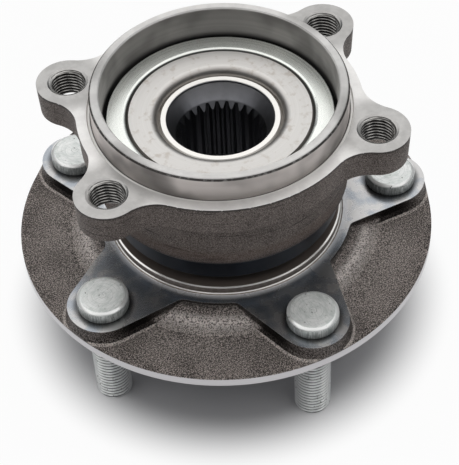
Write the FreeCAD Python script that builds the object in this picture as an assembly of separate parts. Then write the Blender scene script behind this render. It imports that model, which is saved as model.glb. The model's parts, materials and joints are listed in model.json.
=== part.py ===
import FreeCAD, Part
import math
import os

from FreeCAD import Vector

# Wheel hub bearing with a driven, splined hub. All sizes are in millimetres.
# The bearing axis is Z. The studs point down and their ends stand at height zero.
# The long side of the rectangle of knuckle bolt holes runs along X.

# Wheel studs
stud_count = 5
stud_circle_diameter = 114.3
stud_turn = -77.66
stud_reach = 34.4
stud_thread_diameter = 12.0
stud_point_chamfer = 0.7
stud_knurl_diameter = 12.8
stud_head_diameter = 16.7
stud_head_height = 4.3
stud_head_bevel = 0.7
stud_hole_chamfer = 0.6

# Hub flange, forged with a raised land and one lobe for each stud
flange_thickness = 8.7
rim_thickness = 3.5
rim_margin = 0.5
rim_chamfer = 0.5
lobe_radius = 11.75
lobe_flank_angle = 15.7
lobe_corner_radius = 3.0
lobe_draft_angle = 4.0
lobe_foot_radius = 2.1
land_edge_step = 1.0
land_width = 3.0
forged_floor_rise = 0.25
forged_slope_width = 9.6
forged_slope_radius = 30.0

# Raised boss on the hub that the outboard seal faces
seal_boss_height = 2.7
seal_boss_margin = 0.6
seal_boss_chamfer = 0.6
seal_boss_chamfer_drop = 0.25
seal_boss_foot = 0.9
seal_boss_foot_rise = 0.45
hub_root_radius = 5.0

# Wheel pilot and nut recess under the flange
pilot_diameter = 67.0
pilot_length = 12.4
pilot_lead = 1.5
pilot_lead_step = 0.8
pilot_relief_width = 1.7
pilot_relief_depth = 0.5
nut_recess_diameter = 54.0
nut_seat_depth = 4.6
recess_chamfer = 1.0
nut_recess_corner = 1.0

# Splined bore for the drive shaft
spline_teeth = 28
spline_module = 1.0
spline_flank_angle = 30.0
spline_turn = 143.3
spline_tip_clearance = 0.6
spline_root_clearance = 0.5
spline_length = 31.0
spline_relief = 0.75
counterbore_radius = 17.3
counterbore_depth = 0.9
counterbore_lead_angle = 26.0
shaft_end_chamfer = 0.9
shaft_lip_chamfer = 0.2

# Ball rows, in back to back angular contact
ball_count = 14
ball_diameter = 10.319
pitch_diameter = 61.2
contact_angle = 35.0
groove_conformity = 0.52
ball_clearance = 0.02
row_spacing = 12.0
inner_shoulder_drop = 0.8
inner_land_rise = 1.0
outer_land_drop = 2.75
outer_open_drop = 0.26

# Hub shaft and separate inner ring
shaft_diameter = 40.0
inner_ring_bore_radius = 2.6
inner_ring_edge_chamfer = 0.6
inner_ring_small_chamfer = 0.5
shaft_recess = 2.0

# Cages
pocket_clearance = 0.2
cage_spine = 1.3
cage_horn_reach = 3.2
cage_thickness = 3.4
cage_shoulder_gap = 0.55
cage_open_gap = 0.7
cage_seal_gap = 0.4
cage_step = 2.6

# Seals, pressed from sheet with bonded rubber lips
sheet_thickness = 0.8
lip_gap = 0.3
lip_thickness = 0.5
inboard_seal_width = 5.0
inboard_web_depth = 4.6
inboard_case_recess = 2.2
slinger_gap = 1.47
slinger_proud = 0.2
slinger_bend_radius = 1.3
outboard_seal_width = 5.3
outboard_seal_recess = 0.8
outboard_web_depth = 2.9
seal_race_step = 1.2
flange_gap = 4.2

# Outer ring with the knuckle flange
seal_bore_step = 1.8
race_wall = 5.25
ring_end_wall = 2.7
ring_end_chamfer = 0.8
ring_band_height = 8.5
ring_band_taper = 1.4
ring_shoulder_height = 2.0
spigot_wall = 3.33
spigot_height = 8.0
spigot_recess = 11.1
spigot_outer_chamfer = 0.7
spigot_bore_chamfer = 0.5
spigot_relief_depth = 0.55
spigot_relief_floor = 1.0
spigot_relief_width = 1.35
seal_bore_runout = 0.2
knuckle_thickness = 10.5
knuckle_rise = 4.6
knuckle_draft = 0.45
knuckle_root_radius = 4.1
ear_radius = 10.25
ear_fillet = 12.5
bolt_spacing_x = 86.6
bolt_spacing_y = 52.6
bolt_thread_diameter = 12.0
bolt_hole_chamfer = 0.6
bolt_hole_chamfer_depth = 0.35

# Working values of the drawing, not sizes of the part
cut_margin = 0.5
same_point = 0.000001
foot_shares = (0.0, 0.5, 0.8, 1.0)

# Radii that follow from the sizes above
stud_circle_radius = stud_circle_diameter / 2
stud_radius = stud_thread_diameter / 2
knurl_radius = stud_knurl_diameter / 2
head_radius = stud_head_diameter / 2
flange_radius = stud_circle_radius + lobe_radius + rim_margin
ball_radius = ball_diameter / 2
pitch_radius = pitch_diameter / 2
groove_radius = groove_conformity * ball_diameter
groove_offset = groove_radius - ball_radius - ball_clearance
inner_shoulder_radius = pitch_radius - inner_shoulder_drop
inner_land_radius = pitch_radius - ball_radius + inner_land_rise
outer_land_radius = pitch_radius + ball_radius - outer_land_drop
open_radius = pitch_radius + ball_radius - outer_open_drop
seal_bore_radius = pitch_radius + ball_radius + seal_bore_step
body_radius = pitch_radius + ball_radius + race_wall
spigot_radius = seal_bore_radius + spigot_wall
ring_end_radius = open_radius + ring_end_wall
band_radius = ring_end_radius + ring_band_taper
knuckle_radius = body_radius + knuckle_rise
shaft_radius = shaft_diameter / 2
seal_race_radius = inner_shoulder_radius + seal_race_step
seal_boss_radius = ring_end_radius + seal_boss_margin
land_radius = seal_boss_radius + seal_boss_foot + land_width
pilot_radius = pilot_diameter / 2
nut_recess_radius = nut_recess_diameter / 2
spline_pitch_radius = spline_teeth * spline_module / 2
spline_tip_radius = spline_pitch_radius - spline_tip_clearance
spline_root_radius = spline_pitch_radius + spline_root_clearance
relief_radius = spline_root_radius + spline_relief
slinger_sleeve_radius = inner_shoulder_radius + sheet_thickness
slinger_radius = seal_bore_radius - slinger_gap
case_inner_radius = seal_bore_radius - sheet_thickness
bolt_hole_radius = bolt_thread_diameter / 2

# Heights that follow, from the stud ends up
wheel_face = stud_reach
rim_top = wheel_face + rim_thickness
land_face = wheel_face + flange_thickness
boss_face = land_face + seal_boss_height
ring_end = boss_face + flange_gap
outboard_seal_top = ring_end + outboard_seal_width
pocket_radius = ball_radius + pocket_clearance
cage_reach = pocket_radius + cage_spine
outboard_row = outboard_seal_top + cage_seal_gap + cage_reach
inboard_row = outboard_row + row_spacing
ring_joint = (outboard_row + inboard_row) / 2
inboard_seal_bottom = inboard_row + cage_reach + cage_seal_gap
slinger_face = inboard_seal_bottom + inboard_seal_width
inner_ring_face = slinger_face - slinger_proud
shaft_end = inner_ring_face - shaft_recess
spigot_face = slinger_face + spigot_recess
knuckle_face = spigot_face - spigot_height
knuckle_bottom = knuckle_face - knuckle_thickness
pilot_end = wheel_face - pilot_length
nut_seat = wheel_face + nut_seat_depth
counterbore_floor = shaft_end - counterbore_depth
lead_slope = math.tan(math.radians(counterbore_lead_angle))
spline_top = counterbore_floor - (counterbore_radius - spline_root_radius) / lead_slope
spline_bottom = spline_top - spline_length


def at(radius, height):
    """A point of a half section, in the XZ plane."""
    return Vector(radius, 0, height)


def polar(radius, angle, height=0.0):
    """A point at a radius and an angle in degrees about the bearing axis."""
    turn = math.radians(angle)
    return Vector(radius * math.cos(turn), radius * math.sin(turn), height)


def short_arc(centre, start, end):
    """The shorter arc from start to end about a centre."""
    radius = (start - centre).Length
    middle = ((start - centre) + (end - centre)).normalize()
    return Part.Arc(start, centre + middle * radius, end).toShape()


class Section:
    """A half section drawn point by point and turned about the bearing axis."""

    def __init__(self, radius, height):
        self.start = at(radius, height)
        self.pen = self.start
        self.edges = []

    def line(self, radius, height):
        target = at(radius, height)
        if (target - self.pen).Length > same_point:
            self.edges.append(Part.LineSegment(self.pen, target).toShape())
            self.pen = target
        return self

    def lines(self, *points):
        for radius, height in points:
            self.line(radius, height)
        return self

    def arc(self, centre, radius, height):
        target = at(radius, height)
        self.edges.append(short_arc(at(*centre), self.pen, target))
        self.pen = target
        return self

    def turned(self):
        self.line(self.start.x, self.start.z)
        face = Part.Face(Part.Wire(self.edges))
        return face.revolve(Vector(0, 0, 0), Vector(0, 0, 1), 360)


def cylinder(radius, bottom, top):
    return Part.makeCylinder(radius, top - bottom, Vector(0, 0, bottom))


def at_angles(tool, count, first):
    """Copies of a solid, evenly spaced about the bearing axis."""
    copies = []
    for number in range(count):
        copy = tool.copy()
        copy.rotate(Vector(0, 0, 0), Vector(0, 0, 1), first + number * 360 / count)
        copies.append(copy)
    return copies


def inner_groove(row, side):
    """Arc of a raceway on the inner side of a ball row. The seal lies on the given side."""
    lean = math.radians(contact_angle)
    centre_radius = pitch_radius + groove_offset * math.cos(lean)
    centre_height = row - side * groove_offset * math.sin(lean)
    shoulder = math.sqrt(groove_radius ** 2 - (centre_radius - inner_shoulder_radius) ** 2)
    land = math.sqrt(groove_radius ** 2 - (centre_radius - inner_land_radius) ** 2)
    return (centre_radius, centre_height), centre_height + side * shoulder, centre_height - side * land


def outer_groove(row, side):
    """Arc of a raceway in the outer ring. The seal lies on the given side."""
    lean = math.radians(contact_angle)
    centre_radius = pitch_radius - groove_offset * math.cos(lean)
    centre_height = row + side * groove_offset * math.sin(lean)
    opening = math.sqrt(groove_radius ** 2 - (open_radius - centre_radius) ** 2)
    land = math.sqrt(groove_radius ** 2 - (outer_land_radius - centre_radius) ** 2)
    return (centre_radius, centre_height), centre_height + side * opening, centre_height - side * land


def flange_outline(grow, height):
    """Plan of the machined land: a ring with one tapering lobe for each stud."""
    ring = land_radius + grow
    tip = lobe_radius + grow
    corner = lobe_corner_radius
    flank = math.radians(lobe_flank_angle)
    normal = Vector(math.sin(flank), math.cos(flank), 0)
    along = Vector(math.cos(flank), -math.sin(flank), 0)
    offset = stud_circle_radius * math.sin(flank) + tip
    reach = math.sqrt((ring + corner) ** 2 - (offset + corner) ** 2)
    centre = normal * (offset + corner) + along * reach
    ring_end_point = centre * (ring / (ring + corner))
    flank_start = centre - normal * corner
    stud = Vector(stud_circle_radius, 0, 0)
    flank_end = stud + normal * tip
    half = [
        short_arc(centre, ring_end_point, flank_start),
        Part.LineSegment(flank_start, flank_end).toShape(),
    ]
    mirrored = [edge.mirror(Vector(0, 0, 0), Vector(0, 1, 0)) for edge in half]
    low_flank_end = Vector(flank_end.x, -flank_end.y, 0)
    tip_arc = Part.Arc(flank_end, Vector(stud_circle_radius + tip, 0, 0), low_flank_end).toShape()
    lobe_angle = math.degrees(math.atan2(ring_end_point.y, ring_end_point.x))
    pitch = 360 / stud_count
    between = Part.Arc(
        polar(ring, lobe_angle), polar(ring, pitch / 2), polar(ring, pitch - lobe_angle)
    ).toShape()
    edges = []
    for number in range(stud_count):
        for edge in half + mirrored + [tip_arc, between]:
            copy = edge.copy()
            copy.rotate(Vector(0, 0, 0), Vector(0, 0, 1), stud_turn + number * pitch)
            copy.translate(Vector(0, 0, height))
            edges.append(copy)
    return Part.Wire(Part.__sortEdges__(edges))


def flange_lobes():
    """The raised land, drafted and flared into the forged floor at its foot."""
    floor = rim_top
    slope = math.tan(math.radians(lobe_draft_angle))
    levels = [(0.0, land_face)]
    for share in foot_shares:
        turn = math.radians(90 * share)
        drop = lobe_foot_radius * (1 - math.sin(turn))
        flare = lobe_foot_radius * (1 - math.cos(turn))
        height = floor + drop
        levels.append(((land_face - height) * slope + flare, height))
    pads = Part.makeLoft([flange_outline(grow, height) for grow, height in levels], True, True)
    pads = pads.common(cylinder(flange_radius, wheel_face, land_face + cut_margin))
    return pads.cut(cylinder(seal_race_radius, wheel_face, land_face + cut_margin))


def spline_grooves():
    """Straight sided grooves of the internal spline."""
    flank = math.tan(math.radians(spline_flank_angle))
    half_pitch = math.pi * spline_module / 4
    inside = spline_tip_radius - cut_margin
    outside = spline_root_radius
    wide = half_pitch + (spline_pitch_radius - inside) * flank
    narrow = half_pitch - (outside - spline_pitch_radius) * flank
    corners = [
        Vector(inside, -wide, spline_bottom),
        Vector(outside, -narrow, spline_bottom),
        Vector(outside, narrow, spline_bottom),
        Vector(inside, wide, spline_bottom),
    ]
    face = Part.Face(Part.makePolygon(corners + corners[:1]))
    groove = face.extrude(Vector(0, 0, spline_top - spline_bottom + cut_margin))
    return at_angles(groove, spline_teeth, spline_turn)


def wheel_hub():
    centre, shoulder, land = inner_groove(outboard_row, -1)
    root_centre = (seal_race_radius + hub_root_radius, boss_face + hub_root_radius)
    slope_start = at(land_radius, land_face - land_edge_step)
    slope_foot = at(land_radius + forged_slope_width, rim_top + forged_floor_rise)
    slope = slope_foot - slope_start
    slope_lift = math.sqrt(forged_slope_radius ** 2 - (slope.Length / 2) ** 2)
    slope_centre = (slope_start + slope_foot) / 2 + at(-slope.z, slope.x).normalize() * slope_lift
    race_foot = outboard_seal_top - seal_race_step
    section = Section(counterbore_radius, shaft_end - shaft_lip_chamfer)
    section.lines(
        (counterbore_radius + shaft_lip_chamfer, shaft_end),
        (shaft_radius - shaft_end_chamfer, shaft_end),
        (shaft_radius, shaft_end - shaft_end_chamfer),
        (shaft_radius, ring_joint),
        (inner_land_radius, ring_joint),
        (inner_land_radius, land),
    )
    section.arc(centre, inner_shoulder_radius, shoulder)
    section.lines(
        (inner_shoulder_radius, outboard_seal_top),
        (seal_race_radius, race_foot),
        (seal_race_radius, root_centre[1]),
    )
    section.arc(root_centre, root_centre[0], boss_face)
    section.lines(
        (seal_boss_radius - seal_boss_chamfer, boss_face),
        (seal_boss_radius, boss_face - seal_boss_chamfer_drop),
        (seal_boss_radius, land_face + seal_boss_foot_rise),
        (seal_boss_radius + seal_boss_foot, land_face),
        (land_radius, land_face),
        (land_radius, slope_start.z),
    )
    section.arc((slope_centre.x, slope_centre.z), slope_foot.x, slope_foot.z)
    section.lines(
        (flange_radius, rim_top),
        (flange_radius, wheel_face + rim_chamfer),
        (flange_radius - rim_chamfer, wheel_face),
        (pilot_radius + pilot_relief_width, wheel_face),
        (pilot_radius + pilot_relief_width, wheel_face + pilot_relief_depth),
        (pilot_radius, wheel_face + pilot_relief_depth),
        (pilot_radius, pilot_end + pilot_lead),
        (pilot_radius - pilot_lead_step, pilot_end),
        (nut_recess_radius + recess_chamfer, pilot_end),
        (nut_recess_radius, pilot_end + recess_chamfer),
        (nut_recess_radius, nut_seat - nut_recess_corner),
    )
    corner_centre = (nut_recess_radius - nut_recess_corner, nut_seat - nut_recess_corner)
    section.arc(corner_centre, corner_centre[0], nut_seat)
    section.lines(
        (relief_radius + recess_chamfer, nut_seat),
        (relief_radius, nut_seat + recess_chamfer),
        (relief_radius, spline_bottom),
        (spline_tip_radius, spline_bottom + relief_radius - spline_tip_radius),
        (spline_tip_radius, spline_top - (spline_root_radius - spline_tip_radius) / lead_slope),
        (counterbore_radius, counterbore_floor),
    )
    hub = section.turned().fuse(flange_lobes())
    hole = Section(0, wheel_face)
    hole.lines(
        (knurl_radius + stud_hole_chamfer, wheel_face),
        (knurl_radius, wheel_face + stud_hole_chamfer),
        (knurl_radius, land_face),
        (0, land_face),
    )
    stud_hole = hole.turned()
    stud_hole.translate(Vector(stud_circle_radius, 0, 0))
    hub = hub.cut(at_angles(stud_hole, stud_count, stud_turn))
    return hub.cut(spline_grooves())


def wheel_stud():
    section = Section(0, 0)
    section.lines(
        (stud_radius - stud_point_chamfer, 0),
        (stud_radius, stud_point_chamfer),
        (stud_radius, wheel_face),
        (knurl_radius, wheel_face + stud_hole_chamfer),
        (knurl_radius, land_face),
        (head_radius, land_face),
        (head_radius, land_face + stud_head_height - stud_head_bevel),
        (head_radius - stud_head_bevel, land_face + stud_head_height),
        (0, land_face + stud_head_height),
    )
    stud = section.turned()
    stud.translate(Vector(stud_circle_radius, 0, 0))
    return stud


def inner_ring():
    centre, shoulder, land = inner_groove(inboard_row, 1)
    corner_height = inner_ring_face - inner_ring_bore_radius
    corner_centre = (shaft_radius + inner_ring_bore_radius, corner_height)
    section = Section(shaft_radius, corner_height)
    section.arc(corner_centre, corner_centre[0], inner_ring_face)
    section.lines(
        (inner_shoulder_radius - inner_ring_edge_chamfer, inner_ring_face),
        (inner_shoulder_radius, inner_ring_face - inner_ring_edge_chamfer),
        (inner_shoulder_radius, shoulder),
    )
    section.arc(centre, inner_land_radius, land)
    section.lines(
        (inner_land_radius, ring_joint + inner_ring_small_chamfer),
        (inner_land_radius - inner_ring_small_chamfer, ring_joint),
        (shaft_radius + inner_ring_small_chamfer, ring_joint),
        (shaft_radius, ring_joint + inner_ring_small_chamfer),
    )
    return section.turned()


def knuckle_outline(grow, height):
    """Plan of the knuckle flange: a round body with four ears blended in by arcs."""
    body = knuckle_radius + grow
    ear = ear_radius + grow
    ear_distance = math.hypot(bolt_spacing_x, bolt_spacing_y) / 2
    ear_angle = math.degrees(math.atan2(bolt_spacing_y, bolt_spacing_x))
    blend_distance = body + ear_fillet
    blend_reach = ear + ear_fillet
    cosine = (ear_distance ** 2 + blend_distance ** 2 - blend_reach ** 2)
    spread = math.degrees(math.acos(cosine / (2 * ear_distance * blend_distance)))
    angles = [ear_angle, 180 - ear_angle, 180 + ear_angle, 360 - ear_angle]
    edges = []
    for number, angle in enumerate(angles):
        centre = polar(ear_distance, angle, height)
        before = polar(blend_distance, angle - spread, height)
        after = polar(blend_distance, angle + spread, height)
        ear_start = centre + (before - centre) * (ear / blend_reach)
        ear_end = centre + (after - centre) * (ear / blend_reach)
        body_end = polar(body, angle - spread, height)
        body_start = polar(body, angle + spread, height)
        following = angles[(number + 1) % len(angles)] + (360 if number == len(angles) - 1 else 0)
        next_end = following - spread
        edges.append(short_arc(before, body_end, ear_start))
        edges.append(Part.Arc(ear_start, polar(ear_distance + ear, angle, height), ear_end).toShape())
        edges.append(short_arc(after, ear_end, body_start))
        middle = polar(body, (angle + spread + next_end) / 2, height)
        edges.append(Part.Arc(body_start, middle, polar(body, next_end, height)).toShape())
    return Part.Wire(edges)


def outer_ring():
    out_centre, out_opening, out_land = outer_groove(outboard_row, -1)
    in_centre, in_opening, in_land = outer_groove(inboard_row, 1)
    band_top = ring_end + ring_band_height
    section = Section(ring_end_radius - ring_end_chamfer, ring_end)
    section.lines(
        (open_radius + ring_end_chamfer, ring_end),
        (open_radius, ring_end + ring_end_chamfer),
        (open_radius, out_opening),
    )
    section.arc(out_centre, outer_land_radius, out_land)
    section.line(outer_land_radius, in_land)
    section.arc(in_centre, open_radius, in_opening)
    section.lines(
        (open_radius, inboard_seal_bottom - seal_bore_runout),
        (seal_bore_radius, inboard_seal_bottom - seal_bore_runout),
        (seal_bore_radius, spigot_face - spigot_bore_chamfer),
        (seal_bore_radius + spigot_bore_chamfer, spigot_face),
        (spigot_radius - spigot_outer_chamfer, spigot_face),
        (spigot_radius, spigot_face - spigot_outer_chamfer),
        (spigot_radius, knuckle_face - spigot_relief_depth),
        (spigot_radius + spigot_relief_floor, knuckle_face - spigot_relief_depth),
        (spigot_radius + spigot_relief_width, knuckle_face),
        (body_radius + knuckle_root_radius, knuckle_face),
        (body_radius + knuckle_root_radius, knuckle_bottom),
    )
    root_centre = (body_radius + knuckle_root_radius, knuckle_bottom - knuckle_root_radius)
    section.arc(root_centre, body_radius, root_centre[1])
    section.line(body_radius, band_top + ring_shoulder_height)
    section.lines(
        (band_radius, band_top),
        (ring_end_radius, ring_end + ring_end_chamfer),
    )
    flange = Part.makeLoft(
        [knuckle_outline(-knuckle_draft, knuckle_bottom), knuckle_outline(0, knuckle_face)], True, True
    )
    flange = flange.cut(cylinder(spigot_radius + spigot_relief_width, knuckle_bottom, knuckle_face))
    ring = section.turned().fuse(flange)
    hole = Section(0, knuckle_bottom)
    hole.lines(
        (bolt_hole_radius + bolt_hole_chamfer, knuckle_bottom),
        (bolt_hole_radius, knuckle_bottom + bolt_hole_chamfer_depth),
        (bolt_hole_radius, knuckle_face - bolt_hole_chamfer_depth),
        (bolt_hole_radius + bolt_hole_chamfer, knuckle_face),
        (0, knuckle_face),
    )
    for along in (-1, 1):
        for across in (-1, 1):
            bolt_hole = hole.turned()
            bolt_hole.translate(Vector(along * bolt_spacing_x / 2, across * bolt_spacing_y / 2, 0))
            ring = ring.cut(bolt_hole)
    return ring


def ball_angles(first):
    return [first + number * 360 / ball_count for number in range(ball_count)]


def cage(row, side, first):
    """Snap cage: a stiff spine on the seal side, with horns between the balls."""
    spine_outer = open_radius - cage_open_gap
    spine_inner = inner_shoulder_radius + cage_shoulder_gap
    horn_outer = outer_land_radius - cage_open_gap
    horn_inner = horn_outer - cage_thickness
    section = Section(spine_inner, row + side * cage_reach)
    section.lines(
        (spine_outer, row + side * cage_reach),
        (spine_outer, row + side * cage_step),
        (horn_outer, row),
        (horn_outer, row - side * cage_horn_reach),
        (horn_inner, row - side * cage_horn_reach),
        (horn_inner, row),
        (spine_inner, row + side * cage_step),
    )
    pocket_start = Vector(spine_inner - cage_thickness, 0, row)
    pocket = Part.makeCylinder(pocket_radius, open_radius - pocket_start.x, pocket_start, Vector(1, 0, 0))
    return section.turned().cut(at_angles(pocket, ball_count, first))


def ball(row, angle):
    return Part.makeSphere(ball_radius, polar(pitch_radius, angle, row))


def slinger():
    """Plated angle ring, pressed on the inner ring, that covers the inboard seal."""
    bend = (inner_shoulder_radius + slinger_bend_radius, slinger_face - slinger_bend_radius)
    section = Section(inner_shoulder_radius, inboard_seal_bottom)
    section.lines((slinger_sleeve_radius, inboard_seal_bottom), (slinger_sleeve_radius, bend[1]))
    section.arc(bend, bend[0], slinger_face - sheet_thickness)
    section.lines(
        (slinger_radius, slinger_face - sheet_thickness),
        (slinger_radius, slinger_face),
        (bend[0], slinger_face),
    )
    section.arc(bend, inner_shoulder_radius, bend[1])
    return section.turned()


def inboard_seal_case():
    web = inboard_seal_bottom
    section = Section(seal_bore_radius, web)
    section.lines(
        (seal_bore_radius, slinger_face - inboard_case_recess),
        (case_inner_radius, slinger_face - inboard_case_recess),
        (case_inner_radius, web + sheet_thickness),
        (seal_bore_radius - inboard_web_depth, web + sheet_thickness),
        (seal_bore_radius - inboard_web_depth, web),
    )
    return section.turned()


def inboard_seal_lip():
    """Rubber bonded round the web, with a face lip and a radial lip on the slinger."""
    web = inboard_seal_bottom
    web_top = web + sheet_thickness
    web_edge = seal_bore_radius - inboard_web_depth
    slinger_back = slinger_face - sheet_thickness
    bond = web_edge + 3 * lip_thickness
    waist = web_edge - 2 * lip_thickness
    race = slinger_sleeve_radius + lip_gap
    section = Section(web_edge, web)
    section.lines(
        (web_edge, web_top),
        (bond, web_top),
        (bond, web_top + lip_thickness),
        (bond + lip_thickness, slinger_back - lip_gap),
        (bond, slinger_back - lip_gap),
        (bond - 2 * lip_thickness, web_top + 2 * lip_thickness),
        (waist, web_top + lip_thickness),
        (race + lip_thickness / 2, web_top + 3 * lip_thickness),
        (race, web_top + 2 * lip_thickness),
        (race + lip_thickness, web + lip_thickness),
        (waist, web),
    )
    return section.turned()


def outboard_seal_case():
    web = ring_end + outboard_seal_recess
    section = Section(open_radius, web)
    section.lines(
        (open_radius, outboard_seal_top),
        (open_radius - sheet_thickness, outboard_seal_top),
        (open_radius - sheet_thickness, web + sheet_thickness),
        (open_radius - outboard_web_depth, web + sheet_thickness),
        (open_radius - outboard_web_depth, web),
    )
    return section.turned()


def outboard_seal_lip():
    """Rubber under the web, with a radial lip on the hub and a lip towards the flange."""
    web = ring_end + outboard_seal_recess
    web_top = web + sheet_thickness
    web_edge = open_radius - outboard_web_depth
    race = seal_race_radius + lip_gap
    skirt = ring_end - lip_thickness
    near = race + 2 * lip_thickness
    touch = boss_face + lip_gap
    section = Section(open_radius, web)
    section.lines(
        (web_edge, web),
        (web_edge, web_top),
        (race, web_top + 2 * lip_thickness),
        (race, web_top + lip_thickness),
        (race + lip_thickness, web - lip_thickness),
        (near + 2 * lip_thickness, touch + 2 * lip_thickness),
        (near + 3 * lip_thickness, touch + 2 * lip_thickness),
        (near + 2 * lip_thickness, skirt),
        (open_radius + ring_end_chamfer, skirt),
        (open_radius + ring_end_chamfer, ring_end),
    )
    return section.turned()


def build():
    shapes = {
        "wheel_hub": wheel_hub(),
        "inner_ring": inner_ring(),
        "outer_ring": outer_ring(),
        "slinger": slinger(),
        "inboard_seal_case": inboard_seal_case(),
        "inboard_seal_lip": inboard_seal_lip(),
        "outboard_seal_case": outboard_seal_case(),
        "outboard_seal_lip": outboard_seal_lip(),
    }
    for number, stud in enumerate(at_angles(wheel_stud(), stud_count, stud_turn), 1):
        shapes[f"wheel_stud_{number}"] = stud
    rows = {
        "inboard": (inboard_row, 1, 0.0),
        "outboard": (outboard_row, -1, 180 / ball_count),
    }
    for name, (row, side, first) in rows.items():
        shapes[f"{name}_cage"] = cage(row, side, first)
        for number, angle in enumerate(ball_angles(first), 1):
            shapes[f"{name}_ball_{number:02d}"] = ball(row, angle)
    return shapes


os.makedirs("parts", exist_ok=True)
for node, shape in build().items():
    shape.exportStep(f"parts/{node}.step")
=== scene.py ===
import json
import math

import bmesh
import bpy
from mathutils import Matrix, Vector


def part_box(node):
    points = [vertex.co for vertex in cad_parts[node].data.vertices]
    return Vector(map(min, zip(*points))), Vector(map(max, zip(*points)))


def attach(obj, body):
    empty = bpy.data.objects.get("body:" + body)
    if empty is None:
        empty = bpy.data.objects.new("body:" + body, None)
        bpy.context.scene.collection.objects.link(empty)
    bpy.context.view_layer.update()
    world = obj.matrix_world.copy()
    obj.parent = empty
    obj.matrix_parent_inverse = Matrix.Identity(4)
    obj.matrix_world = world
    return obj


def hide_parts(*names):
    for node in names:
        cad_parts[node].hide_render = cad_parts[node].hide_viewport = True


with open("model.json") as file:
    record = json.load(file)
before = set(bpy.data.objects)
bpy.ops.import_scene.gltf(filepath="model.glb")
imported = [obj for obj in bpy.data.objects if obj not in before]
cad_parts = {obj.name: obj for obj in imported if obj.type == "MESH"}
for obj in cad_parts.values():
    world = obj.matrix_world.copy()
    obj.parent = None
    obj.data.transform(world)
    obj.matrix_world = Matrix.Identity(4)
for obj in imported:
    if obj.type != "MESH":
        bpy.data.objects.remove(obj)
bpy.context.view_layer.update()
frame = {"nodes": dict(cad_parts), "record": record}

# Wheel hub bearing, dressed for a product photograph. The row frame is in metres.
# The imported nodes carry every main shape. This script adds the rolled threads of the
# studs and the cut threads of the ears, gives each surface its finish, and lights it.

MM = 0.001
nodes = frame["nodes"]
mounts = {mount["name"]: mount for mount in frame["record"]["mounts"]}


def mount_size(name, size):
    return mounts[name]["dims"][size]


def mount_height(name):
    return mounts[name]["pos_m"][2] / MM


def lowest(node):
    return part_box(node)[0] / MM


def highest(node):
    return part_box(node)[1] / MM


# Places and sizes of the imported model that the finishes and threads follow, in millimetres
STUD_CIRCLE = mount_size("wheel_studs", "pcd_mm") / 2
STUD_RADIUS = mount_size("wheel_studs", "stud_r_mm")
STUD_COUNT = sum(node.startswith("wheel_stud_") for node in nodes)
EAR_HOLE_RADIUS = mount_size("knuckle_bolts", "hole_r_mm")
EAR_X = mount_size("knuckle_bolts", "spacing_x_mm") / 2
EAR_Y = mount_size("knuckle_bolts", "spacing_y_mm") / 2
SPIGOT_RADIUS = mount_size("knuckle_spigot", "r_mm")
FLANGE_RADIUS = highest("wheel_hub").x
WHEEL_FACE = mount_height("wheel_studs")
NUT_SEAT = mount_height("drive_nut_seat")
KNUCKLE_FACE = mount_height("knuckle_bolts")
SPIGOT_FACE = highest("outer_ring").z
RING_END = lowest("outer_ring").z
SLINGER_FACE = highest("slinger").z
SHAFT_END = highest("wheel_hub").z
HEAD_TOP = highest("wheel_stud_1").z

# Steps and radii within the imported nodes, in millimetres
HEAD_HEIGHT = 4.3
HEAD_RADIUS = 8.35
STUD_CHAMFER = 0.7
RIM_THICKNESS = 3.5
LAND_RADIUS = 42.7
BOSS_RADIUS = 38.8
BAND_HEIGHT = 8.5
KNUCKLE_THICKNESS = 10.5
HOLE_MOUTH = 0.6
HOLE_MOUTH_DEPTH = 0.35
SPIGOT_RELIEF = 1.35
BORE_RADIUS = 37.56
SHAFT_BORE_RADIUS = 17.3
SHAFT_RADIUS = 20.0
SHOULDER_RADIUS = 29.8
SPLINE_ROOT_RADIUS = 14.5
RIM_TOP = WHEEL_FACE + RIM_THICKNESS
LAND_FACE = HEAD_TOP - HEAD_HEIGHT
BAND_TOP = RING_END + BAND_HEIGHT
KNUCKLE_BOTTOM = KNUCKLE_FACE - KNUCKLE_THICKNESS

# Threads, in millimetres
STUD_PITCH = 1.5
EAR_PITCH = 1.25
THREAD_SHARE = 0.58
CREST_SHARE = 0.22
ROOT_SHARE = 0.14
THREAD_ROWS = 10
THREAD_SEGMENTS = 48

# Directions along which the soft box is laid out, level with the floor. Only the world's light uses them.
AWAY = (0.253, 0.967, 0.0)
ACROSS = (0.967, -0.253, 0.0)

# The camera as fitted to the photograph: lens in millimetres, place in metres, turns in degrees
CAMERA_LENS = 124.406
CAMERA_CLIP = 0.01
CAMERA_PLACE = (-0.09287, -0.35931, 0.43744)
CAMERA_TURN, CAMERA_TILT, CAMERA_ROLL = -14.65, 42.29, -2.90

# The floor: half its side in metres, and the radii in millimetres between which it turns to the backdrop
FLOOR_HALF_SIDE = 4.0
BACKDROP_FROM, BACKDROP_TO = 55.0, 80.0
BACKDROP_LEVEL = 0.96

# Depth of the forged scale in millimetres, and the angle in degrees from which an edge is sharp
HUB_RELIEF = 0.28
RING_RELIEF = 0.09
SHARP_ANGLE = 38


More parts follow.
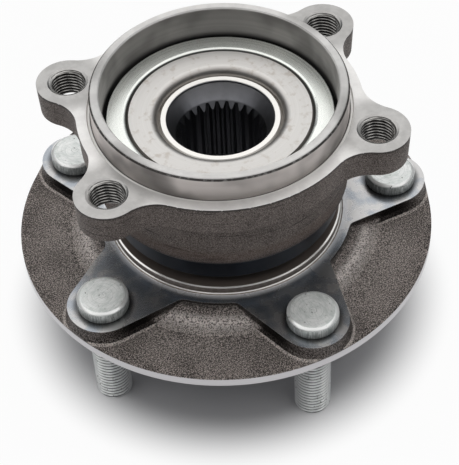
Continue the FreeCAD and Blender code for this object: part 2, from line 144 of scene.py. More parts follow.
class Graph:
    """A node tree, built up from small steps."""

    def __init__(self, tree):
        self.tree = tree

    def feed(self, socket, value):
        if isinstance(value, bpy.types.NodeSocket):
            self.tree.links.new(value, socket)
        else:
            socket.default_value = value

    def node(self, kind, inputs=None, **settings):
        node = self.tree.nodes.new(kind)
        for key, value in settings.items():
            setattr(node, key, value)
        for key, value in (inputs or {}).items():
            self.feed(node.inputs[key], value)
        return node

    def math(self, operation, *values):
        return self.node("ShaderNodeMath", dict(enumerate(values)), operation=operation).outputs[0]

    def times(self, *values):
        product = values[0]
        for value in values[1:]:
            product = self.math("MULTIPLY", product, value)
        return product

    def inverse(self, share):
        return self.math("SUBTRACT", 1.0, share)

    def distance(self, across, along):
        return self.math("SQRT", self.math("MULTIPLY_ADD", across, across, self.times(along, along)))

    def fade(self, value, low, high, start=0.0, end=1.0):
        """Goes smoothly from start to end as value goes from low to high."""
        inputs = {0: value, 1: low, 2: high, 3: start, 4: end}
        return self.node("ShaderNodeMapRange", inputs, interpolation_type="SMOOTHSTEP").outputs[0]

    def blend(self, share, start, end):
        """Start where share is 0 and end where it is 1."""
        return self.node("ShaderNodeMapRange", {0: share, 3: start, 4: end}).outputs[0]

    def within(self, value, low, high, edge=0.05):
        rise = self.fade(value, low - edge, low + edge)
        return self.times(rise, self.fade(value, high - edge, high + edge, 1.0, 0.0))

    def tint(self, share, start, end):
        """A colour between two others."""
        colours = [(*colour, 1) if isinstance(colour, tuple) else colour for colour in (start, end)]
        inputs = {0: share, 6: colours[0], 7: colours[1]}
        return self.node("ShaderNodeMix", inputs, data_type="RGBA").outputs[2]


class Finish(Graph):
    """A material's node tree round one Principled shader, in millimetres of the object's own space."""

    def __init__(self, name, **constants):
        self.material = bpy.data.materials.new(name)
        self.material.use_nodes = True
        super().__init__(self.material.node_tree)
        self.shader = self.tree.nodes["Principled BSDF"]
        for socket, value in constants.items():
            self.shader.inputs[socket.replace("_", " ")].default_value = value
        coords = self.node("ShaderNodeTexCoord").outputs["Object"]
        self.spot = self.node("ShaderNodeVectorMath", {0: coords, 3: 1 / MM}, operation="SCALE").outputs[0]
        self.x, self.y, self.height = self.node("ShaderNodeSeparateXYZ", {0: self.spot}).outputs
        self.radius = self.distance(self.x, self.y)

    def facing_up(self):
        """1 on level faces and 0 on upright walls."""
        normal = self.node("ShaderNodeTexCoord").outputs["Normal"]
        return self.node("ShaderNodeSeparateXYZ", {0: normal}).outputs[2]

    def off_stud(self):
        """Distance from the axis of the nearest wheel stud."""
        low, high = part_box("wheel_stud_1")
        first = math.atan2(low.y + high.y, low.x + high.x)
        half_pitch = math.pi / STUD_COUNT
        turn = self.math("SUBTRACT", self.math("ARCTAN2", self.y, self.x), first)
        turn = self.math("WRAP", turn, -half_pitch, half_pitch)
        along = self.math("SUBTRACT", self.times(self.radius, self.math("COSINE", turn)), STUD_CIRCLE)
        return self.distance(along, self.times(self.radius, self.math("SINE", turn)))

    def noise(self, scale, detail=2.0, roughness=0.5, place=None):
        inputs = {"Vector": place or self.spot, "Scale": scale, "Detail": detail, "Roughness": roughness}
        return self.node("ShaderNodeTexNoise", inputs).outputs[0]

    def rings(self, scale, detail=3.0):
        """Tool marks round the axis: noise that changes only with radius and height."""
        along = self.math("MULTIPLY_ADD", self.height, 0.93, self.radius)
        inputs = {"W": along, "Scale": scale, "Detail": detail, "Roughness": 0.6}
        return self.node("ShaderNodeTexNoise", inputs, noise_dimensions="1D").outputs[0]

    def stretched(self, across, along, up):
        """The surface point, with noise drawn out along the axes where the number is small."""
        inputs = {0: self.spot, 1: (across, along, up)}
        return self.node("ShaderNodeVectorMath", inputs, operation="MULTIPLY").outputs[0]

    def bump(self, *layers):
        """Relief from pairs of height and depth in millimetres."""
        normal = None
        for height, depth in layers:
            bump = self.node("ShaderNodeBump", {"Height": height, "Distance": depth * MM})
            if normal:
                self.feed(bump.inputs["Normal"], normal)
            normal = bump.outputs[0]
        self.feed(self.shader.inputs["Normal"], normal)

    def swirl(self):
        """Turns the brushed direction round the axis."""
        tangent = self.node("ShaderNodeTangent", direction_type="RADIAL", axis="Z")
        self.feed(self.shader.inputs["Tangent"], tangent.outputs[0])

    def paint(self, colour, metallic, roughness):
        self.feed(self.shader.inputs["Base Color"], colour)
        self.feed(self.shader.inputs["Metallic"], metallic)
        self.feed(self.shader.inputs["Roughness"], roughness)


def forged_scale(finish, grain, low, high, dark, pale):
    """Colour and relief of forged scale: sandy specks over slow changes of shade."""
    sand = finish.noise(grain, 3.0, 0.62)
    fine = finish.noise(grain * 2.9, 2.0, 0.6)
    broad = finish.fade(finish.noise(0.075, 3.0), 0.35, 0.65, -0.012, 0.012)
    specks = finish.math("MULTIPLY_ADD", fine, 0.45, finish.times(sand, 0.55))
    share = finish.fade(finish.math("ADD", specks, broad), low, high)
    return finish.tint(share, dark, pale), specks


def forged_and_turned(finish, forged, scale, turned, specks, relief):
    """Steel with forged scale where the first share is 1, and turned faces elsewhere.

    Scale and turned each hold a colour, a metallic share and a roughness."""
    marks = finish.rings(4.5)
    finish.paint(
        finish.tint(forged, turned[0], scale[0]),
        finish.blend(forged, turned[1], scale[1]),
        finish.blend(forged, turned[2], scale[2]),
    )
    finish.bump((finish.times(specks, forged), relief), (finish.times(marks, finish.inverse(forged)), 0.003))
    finish.swirl()
    return finish.material


def hub_steel(name):
    """The hub: a forged flange with turned lands and rim, and a phosphated bore with painted shade deep in
    its spline.
    """
    finish = Finish(name, Anisotropic=0.2, Anisotropic_Rotation=0.25)
    ragged = finish.noise(0.9, 2.0)
    level = finish.within(finish.height, RIM_TOP - 0.05, LAND_FACE - 0.12)
    reach = finish.fade(finish.radius, LAND_RADIUS - 0.15, LAND_RADIUS - 0.05)
    rim_nicks = finish.times(
        finish.fade(ragged, 0.66, 0.70),
        finish.within(finish.height, RIM_TOP - 0.35, RIM_TOP + 0.3),
        finish.fade(finish.radius, FLANGE_RADIUS - 0.4, FLANGE_RADIUS - 0.2),
    )
    forged = finish.math("MAXIMUM", finish.times(level, reach), rim_nicks)
    scale, specks = forged_scale(finish, 2.5, 0.480, 0.575, (0.030, 0.024, 0.021), (0.560, 0.490, 0.456))
    upright = finish.facing_up()
    # painted shade: the steep forged walls of the lobes are made near black
    walls_in_painted_shade = finish.fade(upright, 0.30, 0.80, 1.0, 0.0)
    inward = finish.fade(finish.radius, STUD_CIRCLE + 1.0, STUD_CIRCLE + 8.0, 1.0, 0.45)
    outward = finish.fade(finish.radius, LAND_RADIUS + 4.0, LAND_RADIUS + 11.0, 0.35, 0.95)
    walls_in_painted_shade = finish.times(walls_in_painted_shade, inward, outward)
    scale = finish.tint(walls_in_painted_shade, scale, (0.007, 0.006, 0.006))
    # painted highlight: a pale line of specks along the foot of the lobes
    ridge_highlight = finish.times(
        finish.within(upright, 0.74, 0.98, 0.05),
        finish.within(finish.height, RIM_TOP + 0.1, RIM_TOP + 1.2, 0.1),
        finish.fade(finish.radius, LAND_RADIUS + 6.0, LAND_RADIUS + 10.0),
        finish.fade(specks, 0.40, 0.56),
    )
    scale = finish.tint(finish.times(ridge_highlight, 0.75), scale, (0.85, 0.77, 0.72))
    coarse = finish.noise(1.8, 4.0, 0.7)
    # painted highlight: pale, shinier specks on the slope below the lands
    slope_highlight = finish.times(
        finish.within(finish.height, RIM_TOP + 0.9, RIM_TOP + 2.3, 0.7),
        finish.fade(finish.radius, LAND_RADIUS + 8.5, LAND_RADIUS + 9.8, 1.0, 0.0),
        finish.fade(coarse, 0.45, 0.52),
    )
    scale = finish.tint(finish.times(slope_highlight, 0.85), scale, (0.88, 0.81, 0.775))
    torn = finish.math("MULTIPLY_ADD", finish.noise(0.7, 3.0), 2.4, finish.height)
    # painted shade: a dark band just below the edge of the lands
    shade_below_edge = finish.times(
        finish.fade(torn, LAND_FACE - 0.7, LAND_FACE - 0.1),
        finish.fade(finish.radius, LAND_RADIUS + 7.0, LAND_RADIUS + 11.0, 1.0, 0.0),
    )
    scale = finish.tint(finish.times(shade_below_edge, 0.7), scale, (0.030, 0.026, 0.024))
    bands = finish.rings(0.8, 2.0)
    cloud = finish.noise(0.17, 2.0, 0.5)
    rim_steel = finish.tint(bands, (0.44, 0.43, 0.445), (0.52, 0.51, 0.52))
    land_steel = finish.tint(finish.fade(cloud, 0.38, 0.62), (0.35, 0.375, 0.41), (0.51, 0.505, 0.505))
    on_land = finish.times(
        finish.fade(finish.height, LAND_FACE - 0.3, LAND_FACE - 0.1),
        finish.fade(finish.height, LAND_FACE + 0.2, LAND_FACE + 0.6, 1.0, 0.0),
    )
    # painted light: the land next to the boss is made pale, and less metallic at the metal blend below
    painted_light_by_boss = finish.fade(finish.radius, BOSS_RADIUS + 1.0, BOSS_RADIUS + 3.2, 0.8, 0.0)
    land_steel = finish.tint(painted_light_by_boss, land_steel, (0.86, 0.87, 0.90))
    off_stud = finish.off_stud()
    # painted shadow: a dark ring on the land round each stud head
    contact_shadow = finish.fade(off_stud, HEAD_RADIUS + 0.2, HEAD_RADIUS + 2.4, 0.8, 0.0)
    land_steel = finish.tint(contact_shadow, land_steel, (0.035, 0.034, 0.034))
    turned = finish.tint(on_land, rim_steel, land_steel)
    on_lip = finish.fade(finish.height, SHAFT_END - 1.5, SHAFT_END - 1.2)
    turned = finish.tint(on_lip, turned, (0.80, 0.785, 0.755))
    in_bore = finish.times(
        finish.fade(finish.radius, SHAFT_BORE_RADIUS + 0.02, SHAFT_BORE_RADIUS + 0.1, 1.0, 0.0),
        finish.fade(finish.height, NUT_SEAT + 0.2, NUT_SEAT + 0.5),
    )
    within_roots = finish.fade(finish.radius, SPLINE_ROOT_RADIUS, SPLINE_ROOT_RADIUS + 0.3, 1.0, 0.0)
    # painted shade: the spline between its roots is made dark
    painted_shade_in_spline = finish.times(in_bore, within_roots)
    phosphate = finish.tint(finish.noise(0.4, 3.0), (0.40, 0.405, 0.43), (0.54, 0.545, 0.57))
    shade = finish.tint(painted_shade_in_spline, phosphate, (0.19, 0.193, 0.203))
    turned = finish.tint(in_bore, turned, shade)
    above_land = finish.fade(finish.height, LAND_FACE + 0.02, LAND_FACE + 0.06)
    off_shaft = finish.fade(finish.radius, BOSS_RADIUS - 8.0, BOSS_RADIUS - 7.5)
    # painted highlights: two pale lines at the boss's top edge and at its foot
    boss_highlight_lines = finish.math(
        "MAXIMUM",
        finish.within(finish.radius, BOSS_RADIUS - 0.55, BOSS_RADIUS - 0.05, 0.04),
        finish.within(finish.radius, BOSS_RADIUS + 0.08, BOSS_RADIUS + 0.42, 0.04),
    )
    # painted reflection: the rest of the boss is a dark brown
    boss_shade_and_highlights = finish.tint(boss_highlight_lines, (0.20, 0.165, 0.145), (0.82, 0.81, 0.79))
    on_boss = finish.times(above_land, off_shaft, finish.inverse(in_bore))
    turned = finish.tint(on_boss, turned, boss_shade_and_highlights)
    metal = finish.blend(finish.times(on_boss, finish.inverse(boss_highlight_lines)), 1.0, 0.35)
    metal = finish.blend(on_land, metal, finish.blend(painted_light_by_boss, 0.91, 0.3))
    smooth = finish.blend(on_land, 0.30, finish.fade(cloud, 0.25, 0.75, 0.26, 0.28))
    scale_metal = finish.math("MAXIMUM", finish.blend(walls_in_painted_shade, 0.35, 1.0), finish.times(slope_highlight, 0.85))
    scale_smooth = finish.blend(slope_highlight, finish.fade(specks, 0.3, 0.7, 0.62, 0.45), 0.34)
    scale_look = (scale, scale_metal, scale_smooth)
    turned_look = (turned, metal, smooth)
    return forged_and_turned(finish, forged, scale_look, turned_look, specks, HUB_RELIEF)


def ring_steel(name):
    """The outer ring: a forged body and ears, turned faces and bore, and a heat tinted end band."""
    finish = Finish(name, Anisotropic=0.85, Anisotropic_Rotation=0.25)
    ragged = finish.noise(0.8, 3.0, 0.6)
    edge = finish.math("MULTIPLY_ADD", finish.fade(ragged, 0.55, 0.75), 0.5, finish.height)
    level = finish.times(
        finish.fade(finish.height, BAND_TOP - 0.1, BAND_TOP + 0.1),
        finish.fade(edge, KNUCKLE_FACE - 0.25, KNUCKLE_FACE - 0.15, 1.0, 0.0),
    )
    outside = finish.fade(finish.radius, SPIGOT_RADIUS + SPIGOT_RELIEF, SPIGOT_RADIUS + SPIGOT_RELIEF + 0.1)
    below = finish.fade(finish.height, KNUCKLE_FACE - 1.0, KNUCKLE_FACE - 0.8, 1.0, 0.0)
    off_bore = finish.fade(finish.radius, BORE_RADIUS, BORE_RADIUS + 0.4)
    outside = finish.math("MAXIMUM", outside, finish.times(below, off_bore))
    ear_x = finish.math("SUBTRACT", finish.math("ABSOLUTE", finish.x), EAR_X)
    ear_y = finish.math("SUBTRACT", finish.math("ABSOLUTE", finish.y), EAR_Y)
    mouth = EAR_HOLE_RADIUS + HOLE_MOUTH
    off_hole = finish.fade(finish.distance(ear_x, ear_y), mouth + 0.02, mouth + 0.1)
    spigot_nicks = finish.times(
        finish.fade(ragged, 0.64, 0.68),
        finish.within(finish.radius, SPIGOT_RADIUS - 0.45, SPIGOT_RADIUS + 0.05),
        finish.fade(finish.height, SPIGOT_FACE - 0.8, SPIGOT_FACE - 0.5),
    )
    forged = finish.math("MAXIMUM", finish.times(level, outside, off_hole), spigot_nicks)
    scale, specks = forged_scale(finish, 2.9, 0.42, 0.61, (0.058, 0.045, 0.039), (0.350, 0.302, 0.278))
    smear = finish.noise(0.9, 3.0, 0.6, finish.stretched(0.05, 0.05, 1.3))
    scale = finish.tint(finish.fade(smear, 0.60, 0.68, 0.0, 0.75), scale, (0.030, 0.024, 0.022))
    # painted shade: a dark band on the forged body just under the flange
    under_edge = finish.math("MULTIPLY_ADD", finish.noise(0.5, 3.0), 1.6, finish.height)
    painted_shade_under_flange = finish.fade(under_edge, KNUCKLE_FACE - 0.9, KNUCKLE_FACE + 0.5, 0.0, 0.8)
    scale = finish.tint(painted_shade_under_flange, scale, (0.030, 0.026, 0.025))
    uneven = finish.math("MULTIPLY_ADD", finish.noise(0.1, 2.0), 3.0, finish.height)
    heat = finish.fade(uneven, BAND_TOP + 0.6, BAND_TOP + 6.0)
    browned = finish.within(uneven, BAND_TOP + 4.0, BAND_TOP + 8.5, 2.0)
    scale = finish.tint(finish.times(browned, 0.45), scale, (0.125, 0.083, 0.066))
    blued = (0.010, 0.013, 0.020)
    scale = finish.tint(heat, blued, scale)
    bands = finish.rings(0.8, 2.0)
    stain = finish.fade(finish.noise(0.16, 5.0, 0.65), 0.38, 0.64)
    streak = finish.math("MULTIPLY_ADD", bands, 0.5, finish.times(stain, 0.5))
    # painted light: away from the ears the turned face is a much paler tone than round the ears
    near_ears_painted_dimmer = finish.fade(finish.distance(ear_x, ear_y), mouth + 3.0, mouth + 10.0, 1.0, 0.0)
    steel = finish.tint(streak, (0.72, 0.705, 0.695), (0.88, 0.87, 0.855))
    steel = finish.tint(near_ears_painted_dimmer, steel, finish.tint(streak, (0.42, 0.412, 0.403), (0.58, 0.57, 0.56)))
    on_bore = finish.fade(finish.radius, BORE_RADIUS + 0.05, BORE_RADIUS + 0.2, 1.0, 0.0)
    bore_steel = finish.tint(finish.fade(bands, 0.35, 0.65), (0.47, 0.455, 0.438), (0.53, 0.513, 0.495))
    # painted shade: the bore below the slinger's face is made near black
    above_slinger = finish.fade(finish.height, SLINGER_FACE - 1.0, SLINGER_FACE + 1.6)
    bore_steel = finish.tint(above_slinger, (0.02, 0.02, 0.02), bore_steel)
    oiled = finish.noise(0.06, 2.0)
    bore_steel = finish.tint(finish.fade(oiled, 0.40, 0.65, 0.0, 0.5), bore_steel, (0.10, 0.095, 0.09))
    steel = finish.tint(on_bore, steel, bore_steel)
    on_spigot = finish.within(finish.radius, SPIGOT_RADIUS - 0.04, SPIGOT_RADIUS + 0.04, 0.02)
    film = finish.fade(oiled, 0.40, 0.65, 0.0, 0.6)
    spigot_steel = finish.tint(film, (0.74, 0.69, 0.665), (0.09, 0.085, 0.082))
    steel = finish.tint(on_spigot, steel, spigot_steel)
    # painted shade: dark lines at the spigot's outer top edge and at its foot
    painted_shade_lines = finish.math(
        "MAXIMUM",
        finish.times(
            finish.within(finish.radius, SPIGOT_RADIUS - 0.52, SPIGOT_RADIUS - 0.02, 0.04),
            finish.fade(finish.height, SPIGOT_FACE - 0.8, SPIGOT_FACE - 0.7),
            finish.fade(ragged, 0.35, 0.5, 0.75, 1.0),
        ),
        finish.within(finish.radius, SPIGOT_RADIUS + 0.04, SPIGOT_RADIUS + 0.34, 0.04),
    )
    steel = finish.tint(finish.times(painted_shade_lines, 0.95), steel, (0.045, 0.040, 0.038))
    # painted highlight: a pale ring in the groove at the spigot's foot
    groove_highlight = finish.within(finish.radius, SPIGOT_RADIUS + 0.5, SPIGOT_RADIUS + 1.4, 0.05)
    steel = finish.tint(groove_highlight, steel, (0.88, 0.87, 0.85))
    on_band = finish.fade(finish.height, BAND_TOP - 0.1, BAND_TOP + 0.1, 1.0, 0.0)
    # painted highlight: a pale blue line on the chamfer at the ring's end
    end_chamfer_highlight = finish.fade(finish.height, RING_END + 0.7, RING_END + 0.9, 1.0, 0.0)
    band_steel = finish.tint(heat, blued, (0.030, 0.028, 0.030))
    band_steel = finish.tint(end_chamfer_highlight, band_steel, (0.30, 0.34, 0.40))
    steel = finish.tint(on_band, steel, band_steel)
    on_face = finish.fade(finish.radius, SPIGOT_RADIUS + 1.3, SPIGOT_RADIUS + 1.5)
    rough_cut = finish.fade(bands, 0.3, 0.7, 0.50, 0.58)
    fine_cut = finish.fade(bands, 0.3, 0.7, 0.35, 0.41)
    smooth = finish.blend(on_face, rough_cut, fine_cut)
    smooth = finish.blend(on_band, smooth, 0.36)
    scale_smooth = finish.fade(specks, 0.3, 0.7, 0.62, 0.45)
    scale_metal = finish.blend(heat, 1.0, 0.35)
    scale_look = (scale, scale_metal, scale_smooth)
    turned_look = (steel, 1.0, smooth)
    return forged_and_turned(finish, forged, scale_look, turned_look, specks, RING_RELIEF)


def turned_steel(name):
    """Fine turned and ground steel with faint stains, and painted shade near the bore and in the groove by
    the shoulder.
    """
    finish = Finish(name, Anisotropic=0.4, Anisotropic_Rotation=0.25)
    marks = finish.rings(5.0)
    bands = finish.rings(0.9, 2.0)
    stains = finish.noise(0.35, 4.0, 0.6)
    steel = finish.tint(bands, (0.60, 0.585, 0.565), (0.68, 0.665, 0.65))
    steel = finish.tint(finish.fade(stains, 0.52, 0.70, 0.0, 0.55), steel, (0.42, 0.37, 0.32))
    # painted shade: brown-black near the bore edge and in the groove by the shoulder
    painted_shade_in_corners = finish.math(
        "MAXIMUM",
        finish.fade(finish.radius, SHAFT_RADIUS + 0.2, SHAFT_RADIUS + 2.8, 0.65, 0.0),
        finish.fade(finish.radius, SHOULDER_RADIUS - 0.62, SHOULDER_RADIUS - 0.50, 0.0, 0.75),
    )
    finish.paint(
        finish.tint(painted_shade_in_corners, steel, (0.12, 0.102, 0.09)),
        1.0,
        finish.fade(marks, 0.3, 0.7, 0.34, 0.44),
    )
    finish.bump((marks, 0.003))
    finish.swirl()
    return finish.material


def plated_sheet(name):
    finish = Finish(name, Anisotropic=0.8, Anisotropic_Rotation=0.25)
    marks = finish.rings(6.0)
    cloud = finish.noise(0.16, 3.0)
    plate = finish.tint(cloud, (0.74, 0.775, 0.735), (0.89, 0.90, 0.87))
    # painted shade: the sheet below its face, and next to the inner ring's shoulder, is made near black
    shade = finish.fade(finish.height, SLINGER_FACE - 1.3, SLINGER_FACE - 0.9, 1.0, 0.0)
    shade_by_shoulder = finish.fade(finish.radius, SHOULDER_RADIUS + 0.35, SHOULDER_RADIUS + 0.65, 0.85, 0.0)
    shade = finish.math("MAXIMUM", shade, shade_by_shoulder)
    finish.paint(
        finish.tint(shade, plate, (0.022, 0.022, 0.022)),
        1.0,
        finish.fade(marks, 0.3, 0.7, 0.24, 0.34),
    )
    finish.bump((marks, 0.003))
    finish.swirl()
    return finish.material


def zinc(name):
    """Pale plating on a cold headed stud, with painted shade in the thread's valleys, a painted highlight on
    the head's bevel, and pits in the head's face.
    """
    finish = Finish(name, Anisotropic=0.2, Anisotropic_Rotation=0.25)
    cloud = finish.noise(0.45, 3.0)
    grain = finish.noise(2.6, 3.0, 0.6)
    streaks = finish.noise(1.0, 2.0, 0.5, finish.stretched(2.4, 2.4, 0.25))
    scuffs = finish.noise(1.5, 3.0, 0.6, finish.stretched(0.35, 1.6, 1.0))
    circles = finish.rings(2.2)
    arcs = finish.times(finish.fade(circles, 0.36, 0.46, 1.0, 0.0), finish.fade(cloud, 0.42, 0.58))
    pits = finish.fade(finish.noise(0.95, 1.0), 0.70, 0.76)
    worn = finish.math("MULTIPLY_ADD", cloud, 0.55, finish.times(scuffs, 0.45))
    plate = finish.tint(finish.fade(worn, 0.36, 0.62), (0.68, 0.72, 0.70), (0.97, 0.985, 0.975))
    plate = finish.tint(finish.times(arcs, 0.6), plate, (0.42, 0.45, 0.43))
    # painted highlight: the bevel round the head's face is near white
    bevel_highlight = finish.times(
        finish.within(finish.radius, HEAD_RADIUS - 1.12, HEAD_RADIUS - 0.12, 0.06),
        finish.fade(finish.height, HEAD_TOP - 0.75, HEAD_TOP - 0.65),
    )
    plate = finish.tint(bevel_highlight, plate, (0.96, 0.97, 0.96))
    threaded = finish.fade(finish.height, WHEEL_FACE - 1.0, WHEEL_FACE - 0.5, 1.0, 0.0)
    # painted shade: the valleys of the thread are made near black
    valley_shade = finish.fade(finish.radius, STUD_RADIUS - 0.62, STUD_RADIUS - 0.26, 1.0, 0.0)
    plate = finish.tint(threaded, plate, (0.90, 0.915, 0.91))
    plate = finish.tint(finish.times(threaded, valley_shade), plate, (0.035, 0.037, 0.037))
    on_side = finish.times(
        finish.fade(finish.radius, HEAD_RADIUS - 0.12, HEAD_RADIUS - 0.04),
        finish.fade(streaks, 0.36, 0.60, 0.25, 1.0),
    )
    plate = finish.tint(finish.times(on_side, 0.7), plate, (0.24, 0.26, 0.25))
    finish.paint(
        finish.tint(pits, plate, (0.20, 0.20, 0.19)),
        finish.blend(threaded, 0.45, 0.6),
        finish.blend(bevel_highlight, finish.fade(grain, 0.3, 0.7, 0.34, 0.50), 0.24),
    )
    finish.bump((finish.math("ADD", grain, finish.times(circles, 1.2)), 0.02), (finish.inverse(pits), 0.04))
    finish.swirl()
    return finish.material


def threaded_steel(name):
    """The cut thread of an ear, with painted shade in its valleys."""
    finish = Finish(name, Anisotropic=0.2, Anisotropic_Rotation=0.25)
    grain = finish.noise(1.8, 3.0, 0.6)
    steel = finish.tint(grain, (0.44, 0.43, 0.415), (0.58, 0.57, 0.555))
    # painted shade: the valleys of the thread are made near black
    valley_shade = finish.fade(finish.radius, EAR_HOLE_RADIUS - 0.72, EAR_HOLE_RADIUS - 0.54)
    cut = finish.within(finish.height, KNUCKLE_BOTTOM + 0.8, KNUCKLE_FACE - 0.8, 0.1)
    finish.paint(
        finish.tint(finish.times(valley_shade, cut, 0.95), steel, (0.035, 0.033, 0.031)),
        0.9,
        finish.fade(grain, 0.3, 0.7, 0.30, 0.42),
    )
    finish.bump((grain, 0.01))
    finish.swirl()
    return finish.material


def polished_balls(name):
    finish = Finish(name)
    haze = finish.noise(0.8, 4.0)
    finish.paint(
        finish.tint(haze, (0.70, 0.70, 0.71), (0.78, 0.78, 0.79)),
        1.0,
        finish.fade(haze, 0.3, 0.7, 0.05, 0.14),
    )
    finish.bump((finish.noise(6.0, 3.0), 0.0006))
    return finish.material


def moulded_rubber(name):
    finish = Finish(name)
    grain = finish.noise(4.0, 3.0)
    finish.paint(
        finish.tint(grain, (0.012, 0.012, 0.013), (0.030, 0.030, 0.030)),
        0.0,
        finish.fade(grain, 0.3, 0.7, 0.45, 0.7),
    )
    finish.bump((grain, 0.01))
    return finish.material


def filled_nylon(name):
    finish = Finish(name)
    fibres = finish.noise(1.6, 3.0, 0.6, finish.stretched(1.0, 1.0, 0.35))
    finish.paint(
        finish.tint(fibres, (0.46, 0.41, 0.31), (0.58, 0.53, 0.42)),
        0.0,
        finish.fade(fibres, 0.3, 0.7, 0.38, 0.55),
    )
    finish.bump((fibres, 0.012))
    return finish.material


def new_piece(name, mesh, material, body, at=(0.0, 0.0, 0.0), turn=0.0):
    piece = bpy.data.objects.new(name, mesh)
    bpy.context.scene.collection.objects.link(piece)
    piece.matrix_world = Matrix.Translation(Vector(at) * MM) @ Matrix.Rotation(turn, 4, "Z")
    if not mesh.materials:
        mesh.materials.append(material)
    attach(piece, body)
    return piece


def filled_mesh(name, build):
    """A mesh from a function that fills a bmesh in millimetres."""
    mesh = bpy.data.meshes.new(name)
    shape = bmesh.new()
    build(shape)
    bmesh.ops.scale(shape, vec=(MM, MM, MM), verts=shape.verts)
    bmesh.ops.recalc_face_normals(shape, faces=shape.faces)
    shape.to_mesh(mesh)
    shape.free()
    mesh.shade_smooth()
    mesh.set_sharp_from_angle(angle=math.radians(SHARP_ANGLE))
    return mesh


def skin(shape, rows, closed=True):
    """Faces between rings of points. With closed, the last ring joins the first."""
    rings = [[shape.verts.new(point) for point in row] for row in rows]
    pairs = list(zip(rings, rings[1:] + rings[:1])) if closed else list(zip(rings, rings[1:]))
    for low, high in pairs:
        for number in range(len(low)):
            following = (number + 1) % len(low)
            shape.faces.new((low[number], low[following], high[following], high[number]))
    return rings


def ring_points(height, radius_at):
    points = []
    for number in range(THREAD_SEGMENTS):
        angle = 2 * math.pi * number / THREAD_SEGMENTS
        radius = radius_at(angle, height)
        points.append((radius * math.cos(angle), radius * math.sin(angle), height))
    return points


def plain(radius):
    return lambda angle, height: radius


def thread_drop(angle, height, pitch):
    """Depth of a right hand thread below its crest, with a flat crest, straight flanks and a narrow root."""
    turns = height / pitch - angle / (2 * math.pi)
    off_crest = 2 * abs((turns + 0.5) % 1 - 0.5)
    share = (off_crest - CREST_SHARE) / (1 - CREST_SHARE - ROOT_SHARE)
    return THREAD_SHARE * pitch * min(1.0, max(0.0, share))


def heights(low, high, pitch):
    count = max(1, round((high - low) / pitch * THREAD_ROWS))
    return [low + (high - low) * number / count for number in range(count + 1)]


def stud_shape(shape):
    """A wheel stud with a rolled thread, standing on height zero."""
    thread_end = WHEEL_FACE - 1.2
    crest = STUD_RADIUS - 0.02
    depth = THREAD_SHARE * STUD_PITCH

    def shank(angle, height):
        runout = min(1.0, max(0.0, (thread_end - height) / STUD_PITCH))
        threaded = crest - thread_drop(angle, height, STUD_PITCH) * runout
        return min(threaded, max(crest - depth, crest - STUD_CHAMFER + height))

    rows = [ring_points(height, shank) for height in heights(0.0, thread_end, STUD_PITCH)]
    rows.append(ring_points(thread_end + 0.4, plain(crest - 0.35)))
    profile = [
        (crest - 0.35, WHEEL_FACE + 0.2),
        (HEAD_RADIUS - 0.25, WHEEL_FACE + 0.8),
        (HEAD_RADIUS - 0.25, LAND_FACE + 0.01),
        (HEAD_RADIUS - 0.08, LAND_FACE + 0.10),
        (HEAD_RADIUS, LAND_FACE + 0.35),
        (HEAD_RADIUS - 0.02, HEAD_TOP - 0.90),
        (HEAD_RADIUS - 0.08, HEAD_TOP - 0.70),
        (HEAD_RADIUS - 0.20, HEAD_TOP - 0.56),
        (HEAD_RADIUS - 1.02, HEAD_TOP - 0.09),
        (HEAD_RADIUS - 1.20, HEAD_TOP - 0.02),
        (HEAD_RADIUS - 1.45, HEAD_TOP),
        (HEAD_RADIUS - 3.60, HEAD_TOP - 0.05),
        (HEAD_RADIUS - 4.30, HEAD_TOP - 0.08),
        (1.2, HEAD_TOP - 0.06),
    ]
    rows += [ring_points(height, plain(radius)) for radius, height in profile]
    rings = skin(shape, rows, closed=False)
    shape.faces.new(rings[0])
    shape.faces.new(rings[-1])


def ear_thread_shape(shape):
    """The cut thread of one ear as a thin closed sleeve that lines its hole."""
    low = KNUCKLE_BOTTOM + HOLE_MOUTH_DEPTH
    high = KNUCKLE_FACE - HOLE_MOUTH_DEPTH
    outside = EAR_HOLE_RADIUS - 0.005
    depth = THREAD_SHARE * EAR_PITCH

    def inside(angle, height):
        threaded = outside - 0.03 - thread_drop(angle, height, EAR_PITCH)
        from_end = min(height - low, high - height)
        return min(outside - 0.01, max(threaded, outside - HOLE_MOUTH / HOLE_MOUTH_DEPTH * from_end))

    inner = [ring_points(height, inside) for height in heights(low, high, EAR_PITCH)]
    outer = [ring_points(height, plain(outside)) for height in (high, low)]
    skin(shape, inner + outer)


def dress_cad_nodes():
    finishes = {
        "hub_steel": hub_steel("hub_steel"),
        "ring_steel": ring_steel("ring_steel"),
        "bearing_steel": turned_steel("bearing_steel"),
        "plated_sheet": plated_sheet("plated_sheet"),
        "stud_zinc": zinc("stud_zinc"),
        "ball_steel": polished_balls("ball_steel"),
        "seal_rubber": moulded_rubber("seal_rubber"),
        "cage_plastic": filled_nylon("cage_plastic"),
    }
    for part in frame["record"]["subparts"]:
        nodes[part["node"]].material_slots[0].material = finishes[part["material_slot"]]
    return finishes


def add_studs(finish):
    """Five studs in the places of the CAD studs, which they replace."""
    stud_mesh = filled_mesh("wheel_stud", stud_shape)
    for name in sorted(node for node in nodes if node.startswith("wheel_stud_")):
        low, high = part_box(name)
        middle = (low + high) / 2
        azimuth = math.atan2(middle.y, middle.x)
        place = (STUD_CIRCLE * math.cos(azimuth), STUD_CIRCLE * math.sin(azimuth), 0.0)
        piece = new_piece(f"threaded_{name}", stud_mesh, finish, "wheel_side", place, azimuth)
        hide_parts(name)


def add_ear_threads(finish):
    thread_mesh = filled_mesh("ear_thread", ear_thread_shape)
    corners = [(EAR_X, EAR_Y), (-EAR_X, EAR_Y), (-EAR_X, -EAR_Y), (EAR_X, -EAR_Y)]
    for number, (x, y) in enumerate(corners, 1):
        new_piece(f"ear_thread_{number}", thread_mesh, finish, "knuckle_side", (x, y, 0.0))


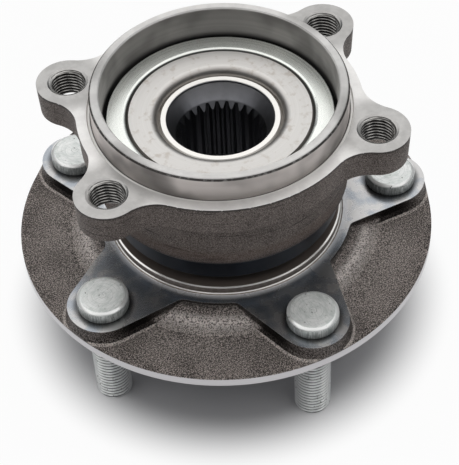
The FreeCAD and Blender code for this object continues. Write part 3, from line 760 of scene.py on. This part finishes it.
def add_floor():
    finish = Finish("floor")
    finish.paint((0.57, 0.57, 0.585, 1.0), 0.0, 0.9)
    path = finish.node("ShaderNodeLightPath").outputs
    white = finish.node("ShaderNodeEmission")
    seen = finish.math("MAXIMUM", path["Is Camera Ray"], path["Is Glossy Ray"])
    seen = finish.math("MAXIMUM", seen, path["Is Transmission Ray"])
    share = finish.times(seen, finish.fade(finish.radius, BACKDROP_FROM, BACKDROP_TO, 0.0, BACKDROP_LEVEL))
    mix = finish.node("ShaderNodeMixShader", {0: share, 1: finish.shader.outputs[0], 2: white.outputs[0]})
    output = finish.tree.nodes["Material Output"]
    finish.feed(output.inputs["Surface"], mix.outputs[0])
    shape = bmesh.new()
    bmesh.ops.create_grid(shape, x_segments=1, y_segments=1, size=FLOOR_HALF_SIDE)
    mesh = bpy.data.meshes.new("floor")
    shape.to_mesh(mesh)
    shape.free()
    mesh.materials.append(finish.material)
    floor = bpy.data.objects.new("floor", mesh)
    bpy.context.scene.collection.objects.link(floor)


def add_camera():
    data = bpy.data.cameras.new("camera")
    data.lens = CAMERA_LENS
    data.clip_start = CAMERA_CLIP
    camera = bpy.data.objects.new("camera", data)
    bpy.context.scene.collection.objects.link(camera)
    aim = (
        Matrix.Rotation(math.radians(CAMERA_TURN), 4, "Z")
        @ Matrix.Rotation(math.radians(CAMERA_TILT), 4, "X")
        @ Matrix.Rotation(math.radians(CAMERA_ROLL), 4, "Z")
    )
    camera.matrix_world = Matrix.Translation(CAMERA_PLACE) @ aim
    bpy.context.scene.camera = camera


def add_light():
    """One large soft box overhead in a dim room.

    Its middle is dimmer than its edges, so that level faces don't clip to white from above.
    Its edges are given on a level plane that lies one unit above the part."""
    box_left, box_right = -1.15, 1.0
    box_front, box_back = -0.72, 1.30
    edge = 0.22
    middle_level, edge_level = 0.95, 1.20
    world = bpy.data.worlds.new("studio")
    bpy.context.scene.world = world
    world.use_nodes = True
    sky = Graph(world.node_tree)
    direction = sky.node("ShaderNodeTexCoord").outputs["Generated"]
    rise = sky.node("ShaderNodeSeparateXYZ", {0: direction}).outputs[2]

    def along(axis):
        inputs = {0: direction, 1: axis}
        return sky.node("ShaderNodeVectorMath", inputs, operation="DOT_PRODUCT").outputs["Value"]

    away = along(AWAY)
    across = along(ACROSS)
    above = sky.math("MAXIMUM", rise, 0.05)
    away_on_plane = sky.math("DIVIDE", away, above)
    across_on_plane = sky.math("DIVIDE", across, above)
    in_box = sky.times(
        sky.within(across_on_plane, box_left, box_right, edge),
        sky.within(away_on_plane, box_front, box_back, edge),
    )
    glow = sky.fade(sky.distance(across_on_plane, away_on_plane), 0.25, 0.70, middle_level, edge_level)
    room = sky.times(sky.fade(away, -0.7, 0.7, 0.07, 0.30), sky.fade(rise, 0.0, 0.45, 0.06, 1.0))
    level = sky.math("ADD", room, sky.times(in_box, glow))
    colour = sky.tint(in_box, (0.94, 0.98, 1.0), (1.0, 0.995, 0.985))
    background = sky.tree.nodes["Background"]
    sky.feed(background.inputs["Color"], colour)
    sky.feed(background.inputs["Strength"], level)


finishes = dress_cad_nodes()
add_studs(finishes["stud_zinc"])
add_ear_threads(threaded_steel("ear_thread_steel"))
add_floor()
add_camera()
add_light()
bpy.context.scene.view_settings.view_transform = "Standard"
